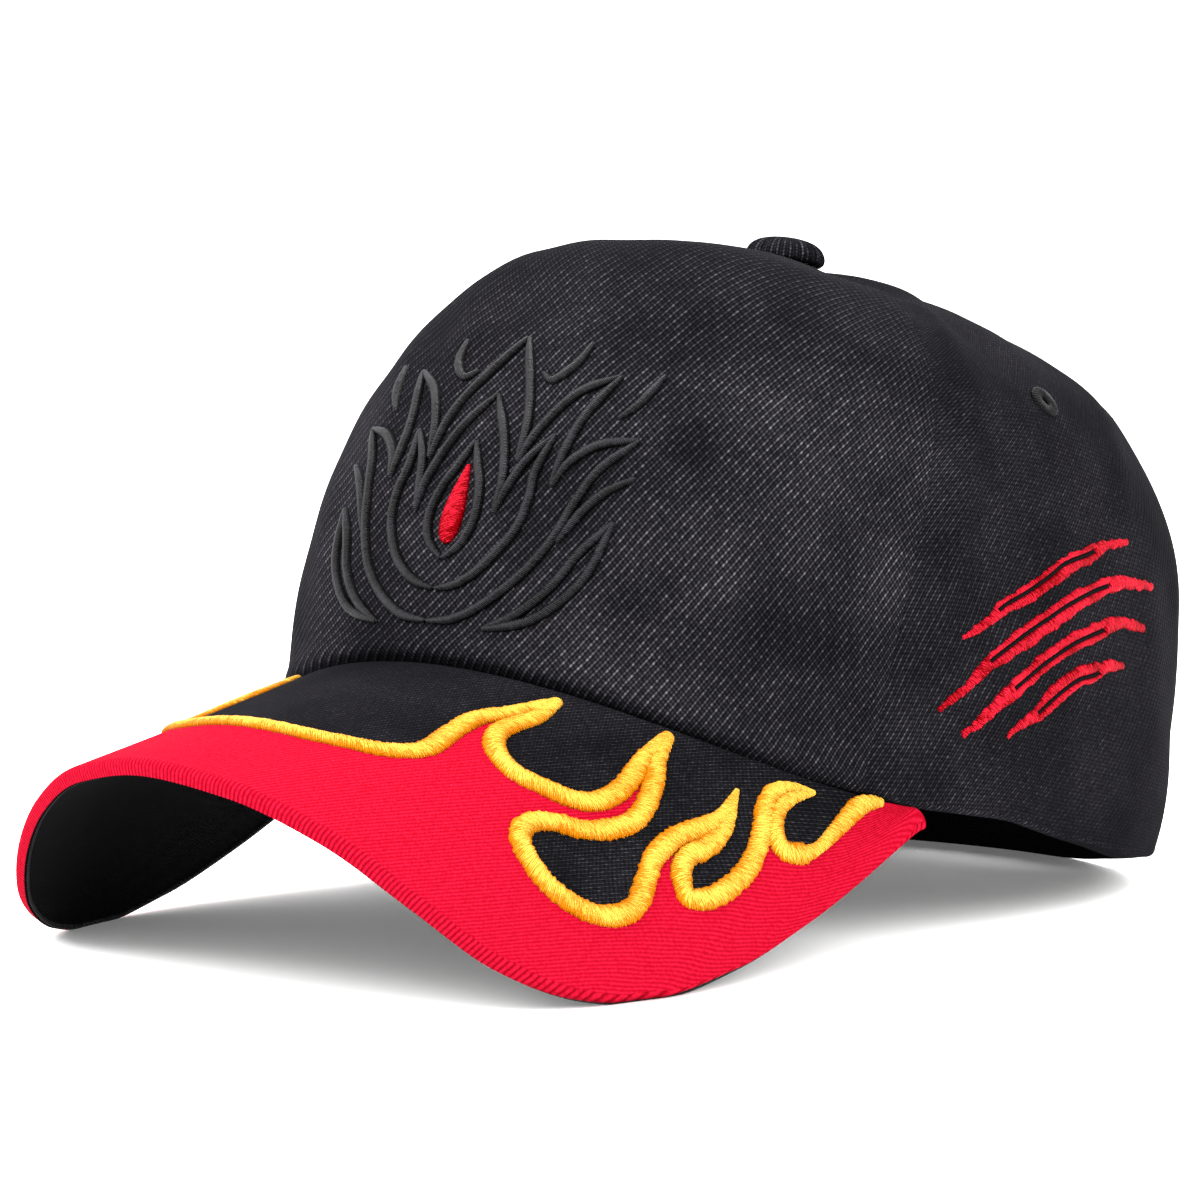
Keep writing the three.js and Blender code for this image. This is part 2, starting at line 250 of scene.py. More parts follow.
softShape = {
    "swell": 1.2, "swellAt": 9.5, "swellWidth": 5.5, "swellFade": 0.2,
    "dents": [
        {"angle": 96, "t": 0.74, "height": -1.6, "angleSpread": 10, "tSpread": 0.16},
        {"angle": 65, "t": 0.08, "height": -1.2, "angleSpread": 5, "tSpread": 0.08},
    ],
    "roll": 0.45, "rollOff": 4.0, "rollWidth": 2.6, "foot": 0.9, "footUp": 3.2, "footSpread": 2.6,
    "groove": 1.3, "grooveUp": 1.5, "shadowUp": 1.0,
    "rollFade": 0.06,
    "waves": [(31, 47, 0.2), (57, 22, 0.12), (19, 73, 0.08)],  # lengths round and up, and height
    "wavePhase": 1.7, "waveHem": 0.1, "waveTop": 0.15, "waveBack": 15,  # how they start and where they end
    "calm": 0.6, "calmFrom": 125, "calmOver": 20,
    "hem": [{"angle": 62, "rise": -1.3, "spread": 7}, {"angle": 81, "rise": 1.0, "spread": 7}],
    "hemFade": 0.12,
    "corner": {"angle": 130, "t": 0.03, "height": 1.8, "angleSpread": 12, "tSpread": 0.07},
}


def bell(value, middle, spread):
    return np.exp(-(((value - middle) / spread) ** 2))


def clamp(value):
    return np.clip(value, 0, 1)


def bump(place, degrees, t):
    aroundAway = ((degrees - place["angle"]) / place["angleSpread"]) ** 2
    upAway = ((t - place["t"]) / place["tSpread"]) ** 2
    return place["height"] * np.exp(-(aroundAway + upAway))


def hemRise(angle, t):
    # how far the soft lower edge has dropped or lifted
    degrees = np.abs(np.degrees(angle))
    fade = clamp(1 - t / softShape["hemFade"]) ** 2
    return fade * sum(row["rise"] * bell(degrees, row["angle"], row["spread"]) for row in softShape["hem"])


def sideSoftness(angle, t):
    degrees = np.abs(np.degrees(angle))
    skin = crownSkin(angle, t)
    fromSeam = np.radians(degrees - frontSeam(t)) * np.hypot(skin[..., 0], skin[..., 1] - crown["apexY"])
    fade = np.minimum(t / softShape["swellFade"], 1)
    height = softShape["swell"] * bell(fromSeam, softShape["swellAt"], softShape["swellWidth"]) * fade
    for dent in softShape["dents"]:
        height = height + bump(dent, degrees, t)
    return height


def waves(angle, t):
    u, v = lookUp(aroundRun, angle, t), lookUp(climb, angle, t)
    height = 0 * u
    for i, (roundLength, upLength, tall) in enumerate(softShape["waves"]):
        turn = 2 * math.pi * (u / roundLength + v / upLength)
        height = height + tall * np.sin(turn + softShape["wavePhase"] * i)
    degrees = np.abs(np.degrees(angle))
    calm = 1 - softShape["calm"] * clamp((degrees - softShape["calmFrom"]) / softShape["calmOver"])
    height = height * calm * clamp(t / softShape["waveHem"]) * clamp((1 - t) / softShape["waveTop"])
    height = height * clamp((180 - degrees) / softShape["waveBack"])
    return height + bump(softShape["corner"], degrees, t)


# Making sheets and cords.

def addSheet(mesh, columns, rows, place):
    # a flat grid, 0 to 1 each way, bent by place() into a sheet with its cloth measure and its mark
    layer = mesh.loops.layers.uv.get("cloth") or mesh.loops.layers.uv.new("cloth")
    marks = mesh.verts.layers.float.get("mark") or mesh.verts.layers.float.new("mark")
    corners = bmesh.ops.create_grid(mesh, x_segments=columns, y_segments=rows, size=0.5)["verts"]
    flat = np.array([corner.co[:2] for corner in corners]) + 0.5
    order = np.lexsort((flat[:, 0].round(5), flat[:, 1].round(5)))
    grid = flat[order].reshape(rows + 1, columns + 1, 2)
    points, cloth, mark = place(grid[..., 0], grid[..., 1])
    points, cloth = toRow(points).reshape(-1, 3), cloth.reshape(-1, 2)
    mark = np.broadcast_to(mark, grid.shape[:2]).ravel()
    for at, index in enumerate(order):
        corner = corners[index]
        corner.co = points[at]
        corner[marks] = mark[at]
        for loop in corner.link_loops:
            loop[layer].uv = cloth[at]


def finishPiece(name, mesh, material, nodes=(), wall=0.0, closed=False, inside=None):
    bmesh.ops.remove_doubles(mesh, verts=mesh.verts, dist=2e-6)
    if closed:
        bmesh.ops.recalc_face_normals(mesh, faces=mesh.faces)
    for face in mesh.faces:
        face.smooth = True
    for edge in mesh.edges:
        edge.smooth = not edge.is_boundary
    data = bpy.data.meshes.new(name)
    mesh.to_mesh(data)
    mesh.free()
    data.materials.append(material)
    piece = addObject(name, data)
    if wall:
        solid = piece.modifiers.new("wall", "SOLIDIFY")
        solid.thickness, solid.offset = wall * mm, -1
        solid.use_even_offset = False
    if inside:
        data.materials.append(inside)
        solid.material_offset = 1
    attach(piece, "root")
    if nodes:
        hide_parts(*nodes)
    print("made", name, len(data.polygons), "faces")
    return piece


def smoothLine(points, parts=14):
    # a line that passes through each point, with parts steps between them
    points = np.array(points, float)
    ends = [2 * points[0] - points[1], *points, 2 * points[-1] - points[-2]]
    s = np.linspace(0, 1, parts, endpoint=False)[:, None]
    stretches = [
        b + 0.5 * ((c - a) * s + (2 * a - 5 * b + 4 * c - d) * s**2 + (3 * b - a - 3 * c + d) * s**3)
        for a, b, c, d in zip(ends, ends[1:], ends[2:], ends[3:])
    ]
    return np.vstack([*stretches, points[-1:]])


def runAlong(points):
    # the length covered at each point of a line
    return np.concatenate([[0], np.cumsum(np.linalg.norm(np.diff(points, axis=0), axis=1))])


def layLine(points, surface, step):
    # a drawn line laid on a surface in even steps: its points, the surface's normals and its run in mm
    drawn = smoothLine(points)
    laid, _ = surface(drawn[:, 0], drawn[:, 1])
    run = runAlong(laid)
    count = max(int(round(run[-1] / step)), 4)
    at = np.linspace(0, run[-1], count + 1)
    even = [np.interp(at, run, drawn[:, i]) for i in (0, 1)]
    points, normals = surface(*even)
    return points, normals, at


def taper(run, start, end, wide, length):
    # widths that grow from each end of a line, with the ends themselves rounded
    widths = np.full(len(run), float(wide))
    for narrow, near in ((start, run), (end, run[-1] - run)):
        grow, rounded = clamp(near / length), clamp(2 * near / narrow)
        grown = narrow + (wide - narrow) * grow * (1.5 - 0.5 * grow)
        widths = np.minimum(widths, grown * np.sqrt(rounded * (2 - rounded)))
    return widths


def addCord(mesh, points, normals, run, widths, height, sides=10, sink=0.3):
    # a satin-stitched line: a flattened tube, domed above the cloth and closed a little below its surface
    count = len(points) - 1
    along = unit(np.gradient(points, axis=0))
    aside = unit(np.cross(normals, along))
    tall = height * np.sqrt(clamp(widths / widths.max()))

    def place(lengthwise, roundwise):
        i = np.round(lengthwise * count).astype(int)
        turn = roundwise * 2 * math.pi
        wide = widths[i] / 2 * np.cos(turn)
        lift = np.where(turn < math.pi, tall[i], sink * tall[i] / height) * np.sin(turn)
        bent = points[i] + aside[i] * wide[..., None] + normals[i] * lift[..., None]
        return bent, np.stack([run[i], wide], axis=-1), 0.0

    addSheet(mesh, count, sides, place)


# Materials.

class Wire:  # a shader value that sums and products can be written with
    def __init__(self, recipe, socket):
        self.recipe, self.socket = recipe, socket

    def __add__(self, other):
        return self.recipe.math("ADD", self, other)

    def __radd__(self, other):
        return self.recipe.math("ADD", other, self)

    def __sub__(self, other):
        return self.recipe.math("SUBTRACT", self, other)

    def __rsub__(self, other):
        return self.recipe.math("SUBTRACT", other, self)

    def __mul__(self, other):
        return self.recipe.math("MULTIPLY", self, other)

    def __rmul__(self, other):
        return self.recipe.math("MULTIPLY", other, self)

    def __truediv__(self, other):
        return self.recipe.math("DIVIDE", self, other)

    def __pow__(self, other):
        return self.recipe.math("POWER", self, other)


class Recipe:  # one material's nodes
    def __init__(self, name):
        self.material = bpy.data.materials.new(name)
        self.material.use_nodes = True
        self.tree = self.material.node_tree
        self.surface = self.tree.nodes["Principled BSDF"]

    def feed(self, socket, value):
        if isinstance(value, Wire):
            self.tree.links.new(value.socket, socket)
        else:
            socket.default_value = value

    def node(self, kind, settings=None, sockets=None, out=0):
        made = self.tree.nodes.new("ShaderNode" + kind)
        for key, value in (settings or {}).items():
            setattr(made, key, value)
        for key, value in (sockets or {}).items():
            self.feed(made.inputs[key], value)
        return Wire(self, made.outputs[out])

    def math(self, operation, *values):
        return self.node("Math", {"operation": operation}, dict(enumerate(values)))

    def wave(self, turns):
        return 0.5 + 0.5 * self.math("COSINE", turns * (2 * math.pi))

    def held(self, value):
        return self.node("Math", {"operation": "ADD", "use_clamp": True}, {0: value, 1: 0.0})

    def mix(self, share, low, high):
        return self.node("Mix", {"data_type": "RGBA"}, {0: share, 6: low, 7: high}, 2)

    def measure(self):
        cloth = self.node("UVMap", {"uv_map": "cloth"})
        return (self.node("SeparateXYZ", sockets={0: cloth}, out=way) for way in (0, 1))

    def noise(self, scale, detail=2.0):
        where = self.node("TexCoord", out="Object")
        return self.node("TexNoise", sockets={"Vector": where, "Scale": scale, "Detail": detail}, out=0)

    def streaks(self, x, y, detail=1.0):
        where = self.node("CombineXYZ", sockets={0: x, 1: y})
        settings = {"noise_dimensions": "2D"}
        return self.node("TexNoise", settings, {"Vector": where, "Scale": 1.0, "Detail": detail})

    def lot(self, column, row):
        # a steady random share for each cell
        cell = self.node("CombineXYZ", sockets={0: self.math("FLOOR", column), 1: self.math("FLOOR", row)})
        return self.node("TexWhiteNoise", {"noise_dimensions": "2D"}, {"Vector": cell})

    def finish(self, colour, roughness, height, depth, constants):
        self.feed(self.surface.inputs["Base Color"], colour)
        self.feed(self.surface.inputs["Roughness"], roughness)
        bump = self.node("Bump", sockets={"Height": height, "Distance": depth * mm, "Strength": 1.0})
        self.feed(self.surface.inputs["Normal"], bump)
        for name, value in constants.items():
            self.surface.inputs[name].default_value = value
        return self.material


def tone(red, green, blue):
    return (red, green, blue, 1.0)


twill = {
    "grazingSheen": tone(0.003, 0.0028, 0.0036), "groove": tone(0.0008, 0.0008, 0.001),
    "ground": tone(0.0185, 0.0174, 0.0213), "thread": tone(0.1, 0.0953, 0.1095),
    "redGround": tone(0.188, 0.0003, 0.005), "redThread": tone(0.33, 0.0045, 0.019),
    "redGroove": tone(0.07, 0.0002, 0.003),
    "roughness": 0.92, "specular": 0.008, "ribDepth": 0.16,
    "wander": 0.34, "wanderScale": 90, "patchScale": 38, "glintScale": 1500,
    "crossed": {"front": 0.7, "side": 0.5, "back": 0.6, "peak": 0.3},  # how much the dots break the ribs
    "rimMark": 4, "rimRib": 0.87, "rimLow": 11,  # the marks where the rim and its dark foot begin
    "fade": 0.5, "fadeFrom": 92, "fadeOver": 40, "topFrom": 112, "topOver": 45,
    "driftRound": 125, "driftBack": 45, "driftUp": {"front": 400, "side": 60, "back": 400, "peak": 400},
}
# How the cloth lies on each part: the ribs' and dots' turns per mm round (u) and up (v), and how they drift.
lay = {
    "front": {"ribs": (0.415, -0.543, 0.00117, 0, 0.00128), "dots": (0.78, 0.88, 0.002, 0, 0)},
    "side": {"ribs": (0.95, -1.12, -0.002, 0.0029, 0.0049), "dots": (-0.63, 1.22, 0.0035, 0, 0)},
    "back": {"ribs": (0.68, 0, 0, 0, 0), "dots": (0, 1.22, 0, 0, 0)},
    "peak": {"ribs": (0.62, -0.24, 0, -0.0056, 0), "dots": (1.45, 0.74, 0, 0, 0)},
}


def drifting(cloth, lie, u, v, driftUp):
    # the turns at a place, where the drift holds only so far round and up
    byU, byV, byUU, byUV, byVV = lie
    a = cloth.math("MAXIMUM", cloth.math("MINIMUM", u, twill["driftRound"]), -twill["driftBack"])
    b = cloth.math("MINIMUM", v, driftUp)
    return u * byU + v * byV + a * (2 * u - a) * byUU + a * v * byUV + b * (2 * v - b) * byVV


def twillCloth(name, part, contrastAndShade, coloured=False):
    cloth = Recipe(name)
    u, v = cloth.measure()
    wander = (cloth.noise(twill["wanderScale"], 3) - 0.5) * twill["wander"]
    across = drifting(cloth, lay[part]["ribs"], u, v, twill["driftUp"][part]) + wander
    along = drifting(cloth, lay[part]["dots"], u, v, twill["driftUp"][part]) + wander
    if coloured:
        mark = cloth.node("Attribute", {"attribute_name": "mark"}, out="Fac")
        rim = cloth.held(mark - twill["rimMark"])
        across = across * (1 - rim) + (u / twill["rimRib"] + wander) * rim
    ridge, dot = cloth.wave(across), cloth.wave(along)
    lot = cloth.lot(across + 0.5, along + 0.5)
    height = ridge * (0.7 + 0.3 * dot)
    patch = 0.35 + cloth.held((cloth.noise(twill["patchScale"], 3) - 0.32) * 2.4)
    glint = cloth.held(3.2 * (cloth.noise(twill["glintScale"], 1) - 0.34))
    facing = cloth.node("LayerWeight", sockets={"Blend": 0.5}, out=1)
    # flat dims the thread shine, painted highlights on the rib crests, where the cloth is seen at a grazing
    # angle
    flat = cloth.held(1.3 - 1.15 * facing)
    line = ridge ** 6 * (0.4 + 0.6 * dot * dot)
    # painted light: the side's ribs fade towards its rear, where a grazing sheen washes them out, and the
    # front's top is painted darker as painted shade where it turns from the light
    if part == "side":
        line = line * (1 - twill["fade"] * cloth.held((u - twill["fadeFrom"]) / twill["fadeOver"]))
    if part == "front":
        patch = patch * (1 - twill["fade"] * cloth.held((v - twill["topFrom"]) / twill["topOver"]))
    half = cloth.wave(across + 0.5) ** 3
    crossed = twill["crossed"][part]
    weave = 0.02 + (0.95 * line + 0.6 * half + 0.1) * (1 - crossed + crossed * dot)
    soft = cloth.held(weave * (0.5 + 0.9 * glint) * patch * contrastAndShade)
    shine = cloth.held(line * (0.3 + 0.7 * lot ** 3) * (0.55 + 0.7 * glint) * patch * contrastAndShade * flat)
    # painted sheen: face-on the ground between the threads is near-black, and towards grazing views it is
    # painted a lighter grey sheen
    ground = cloth.mix(soft, cloth.mix(facing * facing, twill["groove"], twill["grazingSheen"]), twill["ground"])
    colour = cloth.mix(shine, ground, twill["thread"])
    if part == "front":
        # painted shadow: the front panel's groove over the peak is painted near-black
        shadow = cloth.node("Attribute", {"attribute_name": "mark"}, out="Fac")
        colour = cloth.mix(cloth.held(shadow), colour, twill["groove"])
    if coloured:
        red = cloth.held(mark * 4 + 0.5)
        bright = cloth.held((0.05 + 0.8 * ridge + 0.15 * dot) * (0.5 + 0.9 * glint))
        reds = cloth.mix(bright, twill["redGround"], twill["redThread"])
        reds = cloth.mix(rim * cloth.held(0.5 - 1.3 * ridge), reds, twill["redGroove"])
        colour = cloth.mix(red, colour, reds)
        low = (mark - twill["rimLow"]) * 0.4 - 0.35 - 0.5 * ridge
        colour = cloth.mix(cloth.held(low * 6), colour, twill["groove"])
    constants = {"Specular IOR Level": twill["specular"]}
    return cloth.finish(colour, twill["roughness"], height, twill["ribDepth"], constants)


satin = {
    "stitchStep": 0.38, "slant": 0.4, "depth": 0.26, "roughness": 0.45, "level": 0.52,
    "streak": 1.7, "strand": 0.16, "fibre": 1.1, "drift": 0.9,  # how much each varies the colour
}


def satinThread(name, dark, light, contrast=1.0, specular=0.03, flankShade=0.13):
    thread = Recipe(name)
    u, v = thread.measure()
    turn = (u + v * satin["slant"]) / satin["stitchStep"] + thread.noise(500, 1) * 0.5
    strand = thread.wave(turn + 0.5)
    streak = thread.streaks(turn * 1.25, v * 0.5, 2.0) - 0.5
    fibres = thread.noise(3200, 2) - 0.5
    drift = thread.noise(130, 1) - 0.5
    varied = satin["streak"] * streak + satin["strand"] * (strand - 0.5)
    varied = varied + satin["fibre"] * fibres + satin["drift"] * drift
    # painted shade: flankShade darkens each cord towards its sides, so its crest reads as a painted highlight
    bright = thread.held(satin["level"] + varied * contrast - flankShade * v * v)
    colour = thread.mix(bright, dark, light)
    constants = {"Specular IOR Level": specular}
    return thread.finish(colour, satin["roughness"] + 0.2 * fibres, strand ** 0.6, satin["depth"], constants)


lining = {
    "weave": 0.55, "dark": tone(0.0015, 0.0014, 0.0016), "light": tone(0.006, 0.006, 0.007),
    "roughness": 0.9, "depth": 0.1, "specular": 0.02,
}


def liningCloth(name):
    cloth = Recipe(name)
    u, v = cloth.measure()
    threads = cloth.wave(u / lining["weave"]) * cloth.wave(v / lining["weave"])
    colour = cloth.mix(cloth.held(threads * 0.6 + cloth.noise(60) * 0.3), lining["dark"], lining["light"])
    constants = {"Specular IOR Level": lining["specular"]}
    return cloth.finish(colour, lining["roughness"], threads, lining["depth"], constants)


# contrastAndShade sets how strongly each copy's ribs show; the side and back copies are also dimmer as painted
# shade, since the light falls mostly on the front
frontTwill = twillCloth("black_twill_front", "front", contrastAndShade=1.0)
sideTwill = twillCloth("black_twill_side", "side", contrastAndShade=0.66)
backTwill = twillCloth("black_twill_back", "back", contrastAndShade=0.75)
peakTwill = twillCloth("red_and_black_twill", "peak", contrastAndShade=0.42, coloured=True)
blackLining = liningCloth("black_lining")
darkest, darkGrey = tone(0.0007, 0.0007, 0.0009), tone(0.018, 0.0173, 0.021)
# black satin stays grey only along the cords' crests, a painted highlight
blackSatin = satinThread("black_satin", darkest, darkGrey, contrast=1.3, specular=0.13, flankShade=0.75)
edgeThread = satinThread("edge_thread", tone(0.004, 0.004, 0.005), tone(0.026, 0.025, 0.028))
goldSatin = satinThread("gold_satin", tone(0.42, 0.12, 0.0), tone(0.74, 0.51, 0.072))
darkRed, brightRed = tone(0.15, 0.0001, 0.001), tone(0.52, 0.01, 0.026)
redSatin = satinThread("red_satin", darkRed, brightRed, contrast=2.3, specular=0.01)
print("materials made")


# Crown panels.

panelRows = {"edge": 5, "drop": 2, "all": 124, "hemStart": 0.0074}
crowding = 0.86  # how much closer the columns stand beside a seam


def left(seam):
    return lambda t: np.radians(seam(t))


def right(seam):
    return lambda t: -np.radians(seam(t))


def straight(degrees):
    return lambda t: np.radians(degrees) + 0 * t


crownPanels = [  # each panel with the node it stands for, its two edges and its columns
    ("front", "front_panel", right(frontSeam), left(frontSeam), 190),
    ("side_left", "side_panel_left", left(frontSeam), left(backSeam), 110),
    ("side_right", "side_panel_right", right(backSeam), right(frontSeam), 110),
    ("back_left", "back_panel_left", left(backSeam), straight(180), 110),
    ("back_right", "back_panel_right", straight(-180), right(backSeam), 110),
]


def panelRelief(name, angle, t, fromSeam, aboveHem):
    height = waves(angle, t)
    if name.startswith("side"):
        return height + sideSoftness(angle, t)
    roll = softShape["roll"] * bell(fromSeam, softShape["rollOff"], softShape["rollWidth"])
    height = height + roll * clamp(t / softShape["rollFade"])
    if name == "front":
        height = height + softShape["foot"] * bell(aboveHem, softShape["footUp"], softShape["footSpread"])
    return height


def hemTuck(angle):
    # how much rounder the lower edge is at the rear corners
    degrees = np.abs(np.degrees(angle))
    ahead = clamp((degrees - crown["tuckFrom"]) / crown["tuckOver"])
    return ahead * clamp((crown["tuckTo"] - degrees) / crown["tuckFade"])


def placePanel(name, startAt, endAt):
    edge, gap = crown["edgeRadius"], crown["gap"]
    lowest = math.radians(crown["edgeAngle"])
    quarter, tuckedIn = (math.pi / 2 - lowest) * edge, math.cos(lowest) * edge
    rows, edgeRows, dropRows = panelRows["all"], panelRows["edge"], panelRows["drop"]

    def place(across, up):
        row = np.round(up * rows)
        turn = clamp(row / edgeRows) * (math.pi / 2)
        drop = 1 - clamp((row - edgeRows) / dropRows)
        climbed = clamp((row - edgeRows - dropRows) / (rows - edgeRows - dropRows))
        t = panelRows["hemStart"] + (crown["top"] - panelRows["hemStart"]) * climbed
        start, end = startAt(t), endAt(t)
        middle = crownSkin((start + end) / 2, t)
        width = (end - start) * np.hypot(middle[..., 0], middle[..., 1] - crown["apexY"])
        length = width - gap - 2 * tuckedIn + 2 * quarter
        even = across - crowding * np.sin(2 * math.pi * across) / (2 * math.pi)
        fromStart, fromEnd = even * length, (1 - even) * length
        near = np.minimum(fromStart, fromEnd)
        phi = np.clip(lowest + near / edge, 0, math.pi / 2)
        fromSeam = tuckedIn - edge * np.cos(phi) + np.maximum(near - quarter, 0)
        lateral = np.where(across < 0.5, gap / 2 + fromSeam, width - gap / 2 - fromSeam)
        angle = start + (end - start) * lateral / width
        tucked = np.where(near > quarter, 0, near - fromSeam - (quarter - tuckedIn))
        tuck = hemTuck(angle)
        hem = crown["hemRadius"] + crown["hemTuck"] * tuck
        u = lookUp(aroundRun, angle, t) + np.where(across < 0.5, 1, -1) * tucked
        v = lookUp(climb, angle, t) - turnDown(angle) * drop - hem * (math.pi / 2 - turn)
        aboveHem = v - lookUp(climb, angle, 0 * t)
        clear = clamp(aboveHem / softShape["grooveUp"])
        groove = softShape["groove"] * (1 - clear * clear * (3 - 2 * clear))
        groove = groove * turnDown(angle) / crown["turnDown"]
        depth = edge * (1 - np.sin(phi)) + hem * (1 - np.sin(turn)) + groove
        points, _ = raised(angle, t, panelRelief(name, angle, t, fromSeam, aboveHem) - depth)
        points[..., 2] += hemRise(angle, t) - turnDown(angle) * drop - hem * np.cos(turn)
        points[..., 2] += crown["hemLift"] * tuck * clamp(1 - t / crown["liftFade"])
        if name != "front":
            u = np.abs(u)
        shadow = clamp(1.5 - aboveHem / softShape["shadowUp"]) * turnDown(angle) / crown["turnDown"]
        return points, np.stack([u, v], axis=-1), shadow

    return place


eyelet = {
    "hole": 1.2, "radius": 3.7, "height": 0.8, "lift": 0.15, "cut": 2.3,
    "stitches": 34, "stitchOut": 0.12, "stitchUp": 0.14,
}
eyeletPlaces = [
    {"panel": "side_left", "node": "eyelet_side_left", "angle": 99, "t": 0.59},
    {"panel": "side_right", "node": "eyelet_side_right", "angle": -99, "t": 0.59},
    {"panel": "back_left", "node": "eyelet_back_left", "angle": 150, "t": 0.59},
    {"panel": "back_right", "node": "eyelet_back_right", "angle": -150, "t": 0.59},
]


def onSide(degrees, t):
    angle = np.radians(degrees)
    return raised(angle, t, sideSoftness(angle, t) + waves(angle, t))


def onBack(degrees, t):
    angle = np.radians(degrees)
    return raised(angle, t, waves(angle, t))


def eyeletSeat(spot):
    surface = onSide if spot["panel"].startswith("side") else onBack
    point, normal = surface(np.array([spot["angle"]], float), np.array([spot["t"]], float))
    return point[0], normal[0]


backArch = {"radius": 47, "centreZ": 4}


def beyondArch(place):
    # how far a point stands outside the arch, seen from behind
    above = max(place.z / mm - backArch["centreZ"], 0)
    return math.hypot(place.x / mm, above) - backArch["radius"]


def cutArch(mesh):
    away = {corner: beyondArch(corner.co) for corner in mesh.verts}
    moved = {}
    for edge in mesh.edges:
        a, b = edge.verts
        if away[a] * away[b] < 0:
            nearer = a if abs(away[a]) < abs(away[b]) else b
            moved.setdefault(nearer, a.co.lerp(b.co, away[a] / (away[a] - away[b])))
    for corner, place in moved.items():
        corner.co = place
    inside = [face for face in mesh.faces if all(beyondArch(c.co) < 1e-3 for c in face.verts)]
    bmesh.ops.delete(mesh, geom=inside, context="FACES")


def makePanels():
    for panel, node, startAt, endAt, columns in crownPanels:
        mesh = bmesh.new()
        addSheet(mesh, columns, panelRows["all"], placePanel(panel, startAt, endAt))
        for spot in eyeletPlaces:
            if spot["panel"] == panel:
                seat = Vector(toRow(eyeletSeat(spot)[0]))
                hole = [f for f in mesh.faces if (f.calc_center_median() - seat).length < eyelet["cut"] * mm]
                bmesh.ops.delete(mesh, geom=hole, context="FACES")
        if panel.startswith("back"):
            cutArch(mesh)
        material = {"front": frontTwill, "side": sideTwill, "back": backTwill}[panel.split("_")[0]]
        finishPiece("crown_" + panel, mesh, material, [node], crown["cloth"], inside=blackLining)


makePanels()


# Eyelets and button.

def turnedShape(mesh, columns, profile, seat, axis, relief):
    # a profile of radius and height turned about an axis, in steps that can rise and fall
    aside = unit(np.cross(axis, [0.0, 1.0, 0.3]))
    other = np.cross(axis, aside)
    run = runAlong(profile)

    def place(around, up):
        i = np.round(up * (len(profile) - 1)).astype(int)
        turn = around * 2 * math.pi
        radius, height = relief(turn, profile[i, 0], profile[i, 1])
        flat = np.cos(turn)[..., None] * aside + np.sin(turn)[..., None] * other
        points = seat + flat * radius[..., None] + axis * height[..., None]
        return points, np.stack([turn * profile[:, 0].max(), run[i]], axis=-1), 0.0

    addSheet(mesh, columns, len(profile) - 1, place)


def makeEyelets():
    turns = np.linspace(0, 2 * math.pi, 17)
    middle, half = (eyelet["radius"] + eyelet["hole"]) / 2, (eyelet["radius"] - eyelet["hole"]) / 2
    heights = eyelet["lift"] + eyelet["height"] * np.sin(turns)
    profile = np.column_stack([middle - half * np.cos(turns), heights])

    def stitched(turn, radius, height):
        ridge = np.abs(np.cos(turn * eyelet["stitches"] / 2))
        out = eyelet["stitchOut"] * ridge * (radius > middle)
        return radius + out, height + eyelet["stitchUp"] * ridge * (height > eyelet["lift"])

    for spot in eyeletPlaces:
        seat, normal = eyeletSeat(spot)
        mesh = bmesh.new()
        turnedShape(mesh, eyelet["stitches"] * 4, profile, seat, normal, stitched)
        finishPiece("stitched_" + spot["node"], mesh, blackSatin, [spot["node"]], closed=True)


makeEyelets()

button = {
    "tilt": 0.2, "clearance": 0.7, "pleats": 26, "pleatDepth": 0.16,
    "stem": [(0, -3.4), (2, -3.4)],
    "outline": [
        (2, -0.2), (6, -0.1), (8.2, 0.2), (8.8, 1.2), (8.5, 2.5), (7.6, 3.8), (5.8, 4.9), (3.2, 5.6), (0, 5.9),
    ],
}


def makeButton():
    axis = np.array([0.0, math.sin(button["tilt"]), math.cos(button["tilt"])])
    seat = np.array([0, crown["apexY"], crown["apexZ"] + button["clearance"]])
    profile = np.vstack([np.array(button["stem"], float), smoothLine(button["outline"], 5)])

    def pleated(turn, radius, height):
        depth = button["pleatDepth"] * np.sin(turn * button["pleats"]) * clamp((radius - 3) / 4)
        return radius + depth * (height > 0.1), height + depth * (height > 0.1)

    mesh = bmesh.new()
    turnedShape(mesh, button["pleats"] * 6, profile, seat, axis, pleated)
    finishPiece("covered_button", mesh, backTwill, ["top_button"], closed=True)


makeButton()


# Peak.

peak = {
    "lining": 1.0, "thickness": 3.4, "gap": 0.3, "edgeRadius": 1.5, "edgeRows": 7, "lap": 0.2,
    "lowRadius": 0.4, "lowRows": 4, "under": 0.9, "dip": 0.4, "dipWidth": 0.8, "cloth": 0.9,
    "seamIn": 2.4, "seamDown": 1.2,  # how far the upper cloth runs on under the wall
    "cord": 1.6, "cordIn": 0.75, "cordUp": 0.45, "cordHeight": 0.55, "cordEnd": 0.985, "cordSteps": 420,
    "borderMark": (-3, 3), "foldMark": 8, "footMark": 4,
    "columns": 340, "rows": 96, "lowerColumns": 220, "lowerRows": 40,
    "rim": [
        {"s": 0, "x": 0, "y": -184, "z": 43},
        {"s": 0.1, "x": 19.5, "y": -181, "z": 40},
        {"s": 0.2, "x": 37, "y": -174, "z": 32},
        {"s": 0.3, "x": 51.5, "y": -165, "z": 20},
        {"s": 0.4, "x": 62.5, "y": -153.5, "z": 8.2},
        {"s": 0.5, "x": 70.5, "y": -138, "z": 1.2},
        {"s": 0.55, "x": 73, "y": -129, "z": 0},
        {"s": 0.6, "x": 75, "y": -119.5, "z": 0},
        {"s": 0.7, "x": 77.3, "y": -99, "z": 3.4},
        {"s": 0.8, "x": 78.4, "y": -78, "z": 10},
        {"s": 0.9, "x": 79.1, "y": -57, "z": 18.5},
        {"s": 1, "x": 79.6, "y": -42, "z": 25.5},
    ],
}
